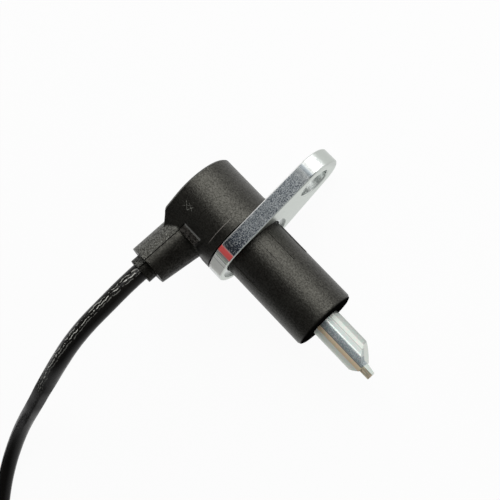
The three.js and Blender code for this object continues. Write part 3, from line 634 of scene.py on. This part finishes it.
def cable_line():
    out = [EXIT, EXIT + EXIT_AIM * EXIT_LEAD]
    run = [Vector((EXIT.x + x, EXIT.y + y, z)) for x, y, z in RUN_ROUTE]
    coil = coil_points()
    end = CONNECTOR_PLACE.y - BOOT_LENGTH
    tail = [
        Vector((CONNECTOR_PLACE.x, COIL_MIDDLE.y + TAIL_START, COIL_HIGH)),
        Vector((CONNECTOR_PLACE.x, end - TAIL_LEAD, CONNECTOR_HEIGHT + TAIL_RISE)),
        Vector((CONNECTOR_PLACE.x, end - TAIL_GAP, CONNECTOR_HEIGHT)),
    ]
    return flowing([*out, *run, *coil, *tail], CABLE_STEP)


def tube_piece(name, line, radius, material):
    data = bpy.data.curves.new(name, "CURVE")
    data.dimensions = "3D"
    data.bevel_depth = radius
    data.bevel_resolution = 8
    data.use_fill_caps = True
    spline = data.splines.new("POLY")
    spline.points.add(len(line) - 1)
    for point, place in zip(spline.points, line):
        point.co = (*place, 1)
    spline.use_smooth = True
    data.materials.append(material)
    piece = bpy.data.objects.new(name, data)
    bpy.context.collection.objects.link(piece)
    return piece


cable = tube_piece("lead_cable", cable_line(), CABLE_DIAMETER / 2, cable_jacket())
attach(cable, "root")
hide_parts("cable_run", "cable_coil", "cable_tail")

body_plastic = sensor_plastic()
dark_plastic = moulded("tie_plastic", (0.012, 0.012, 0.013), 0.45)
housing_plastic = moulded("housing_plastic", (0.02, 0.021, 0.023), 0.5)
boot_rubber = moulded("boot_rubber", (0.012, 0.012, 0.012), 0.65, 0.5, 0.3)
seal_rubber = moulded("seal_rubber", (0.35, 0.08, 0.02), 0.55)
lock_plastic = moulded("lock_plastic", (0.28, 0.3, 0.32), 0.45)
bobbin_plastic = moulded("bobbin_plastic", (0.68, 0.64, 0.54), 0.45)
core_plastic = moulded("core_plastic", (0.2, 0.12, 0.05), 0.4)
tin = metal("tin_plate", (0.62, 0.62, 0.6), 0.25)
magnet_dark = metal("magnet_dark", (0.12, 0.12, 0.13), 0.4)

carry("sensor_body", body_plastic)
carry("mounting_flange", flange_zinc())
carry("pole_pin", pin_steel(), 0.05)
carry("coil_bobbin", bobbin_plastic)
carry("coil_winding", copper_winding())
carry("permanent_magnet", magnet_dark)
carry("connector_housing", housing_plastic, 0.2)
carry("connector_boot", boot_rubber, 0.12)
carry("terminal_lock", lock_plastic)
for number in (1, 2):
    carry(f"bobbin_terminal_{number}", tin, 0.04)
    carry(f"crimp_sleeve_{number}", tin, 0.04)
    carry(f"sensor_wire_{number}", core_plastic, 0)
    carry(f"connector_terminal_{number}", tin)
    carry(f"connector_wire_{number}", core_plastic, 0)
    carry(f"wire_seal_{number}", seal_rubber)
    carry(f"cable_tie_{number}", dark_plastic, 0.2)


# Floor, light and background


def shown_rays(g):
    """1 for rays from the camera, mirrors and glass, 0 for those that light the object."""
    ray = g.tree.nodes.new("ShaderNodeLightPath").outputs
    seen = g.math("MAXIMUM", ray["Is Camera Ray"], ray["Is Glossy Ray"])
    return g.math("MAXIMUM", seen, ray["Is Transmission Ray"])


def floor_card():
    """Pale card that shows white, with a soft share of the object's shadow."""
    g = Graph("floor_card")
    slow = g.noise(g.coordinates(), 0.02, 2)
    material = g.finish(
        color=g.mix(slow, (0.86, 0.86, 0.86), (0.9, 0.9, 0.9)),
        rough=0.9,
        specular=0.1,
    )
    white = g.tree.nodes.new("ShaderNodeEmission")
    white.inputs["Color"].default_value = (1, 1, 1, 1)
    white.inputs["Strength"].default_value = 1.0
    blend = g.tree.nodes.new("ShaderNodeMixShader")
    g.feed(blend.inputs[0], g.both(shown_rays(g), FLOOR_WHITE))
    g.tree.links.new(g.shader.outputs[0], blend.inputs[1])
    g.tree.links.new(white.outputs[0], blend.inputs[2])
    g.tree.links.new(blend.outputs[0], g.tree.nodes["Material Output"].inputs["Surface"])
    return material


def floor():
    mesh = bpy.data.meshes.new("floor")
    corners = [(FLOOR_HALF * x, FLOOR_HALF * y, 0) for x, y in ((-1, -1), (1, -1), (1, 1), (-1, 1))]
    mesh.from_pydata(corners, [], [(0, 1, 2, 3)])
    mesh.materials.append(floor_card())
    piece = bpy.data.objects.new("floor", mesh)
    bpy.context.collection.objects.link(piece)
    piece.location.z = -FLOOR_DROP


def softbox(name, place, size, radiance, aim):
    """A rectangle of light with an even brightness, turned to the aim."""
    data = bpy.data.lights.new(name, "AREA")
    data.shape = "RECTANGLE"
    data.size, data.size_y = size
    data.energy = radiance * math.pi * size[0] * size[1]
    lamp = bpy.data.objects.new(name, data)
    bpy.context.collection.objects.link(lamp)
    lamp.location = place
    lamp.rotation_euler = (Vector(aim) - Vector(place)).to_track_quat("-Z", "Y").to_euler()


def background():
    """White to the camera. As light it is a room that is bright near the table and dim above."""
    world = bpy.data.worlds.new("studio")
    world.use_nodes = True
    bpy.context.scene.world = world
    tree = world.node_tree
    shown = tree.nodes["Background"]
    shown.inputs["Color"].default_value = (1, 1, 1, 1)
    shown.inputs["Strength"].default_value = 1
    where = tree.nodes.new("ShaderNodeTexCoord")
    split = tree.nodes.new("ShaderNodeSeparateXYZ")
    tree.links.new(where.outputs["Generated"], split.inputs[0])
    fall = tree.nodes.new("ShaderNodeMapRange")
    fall.interpolation_type = "SMOOTHSTEP"
    fall.inputs["From Min"].default_value, fall.inputs["From Max"].default_value = ROOM_FALL
    fall.inputs["To Min"].default_value = ROOM_LOW
    fall.inputs["To Max"].default_value = ROOM_SIDES
    tree.links.new(split.outputs[2], fall.inputs["Value"])
    room = tree.nodes.new("ShaderNodeBackground")
    room.inputs["Color"].default_value = (0.98, 0.99, 1, 1)
    tree.links.new(fall.outputs[0], room.inputs["Strength"])
    ray = tree.nodes.new("ShaderNodeLightPath")
    choose = tree.nodes.new("ShaderNodeMixShader")
    tree.links.new(ray.outputs["Is Camera Ray"], choose.inputs[0])
    tree.links.new(room.outputs[0], choose.inputs[1])
    tree.links.new(shown.outputs[0], choose.inputs[2])
    tree.links.new(choose.outputs[0], tree.nodes["World Output"].inputs["Surface"])


floor()
background()
softbox("key_softbox", LAMP_PLACE, LAMP_SIZE, LAMP_RADIANCE, LAMP_AIM)

bpy.context.scene.view_settings.view_transform = "Standard"
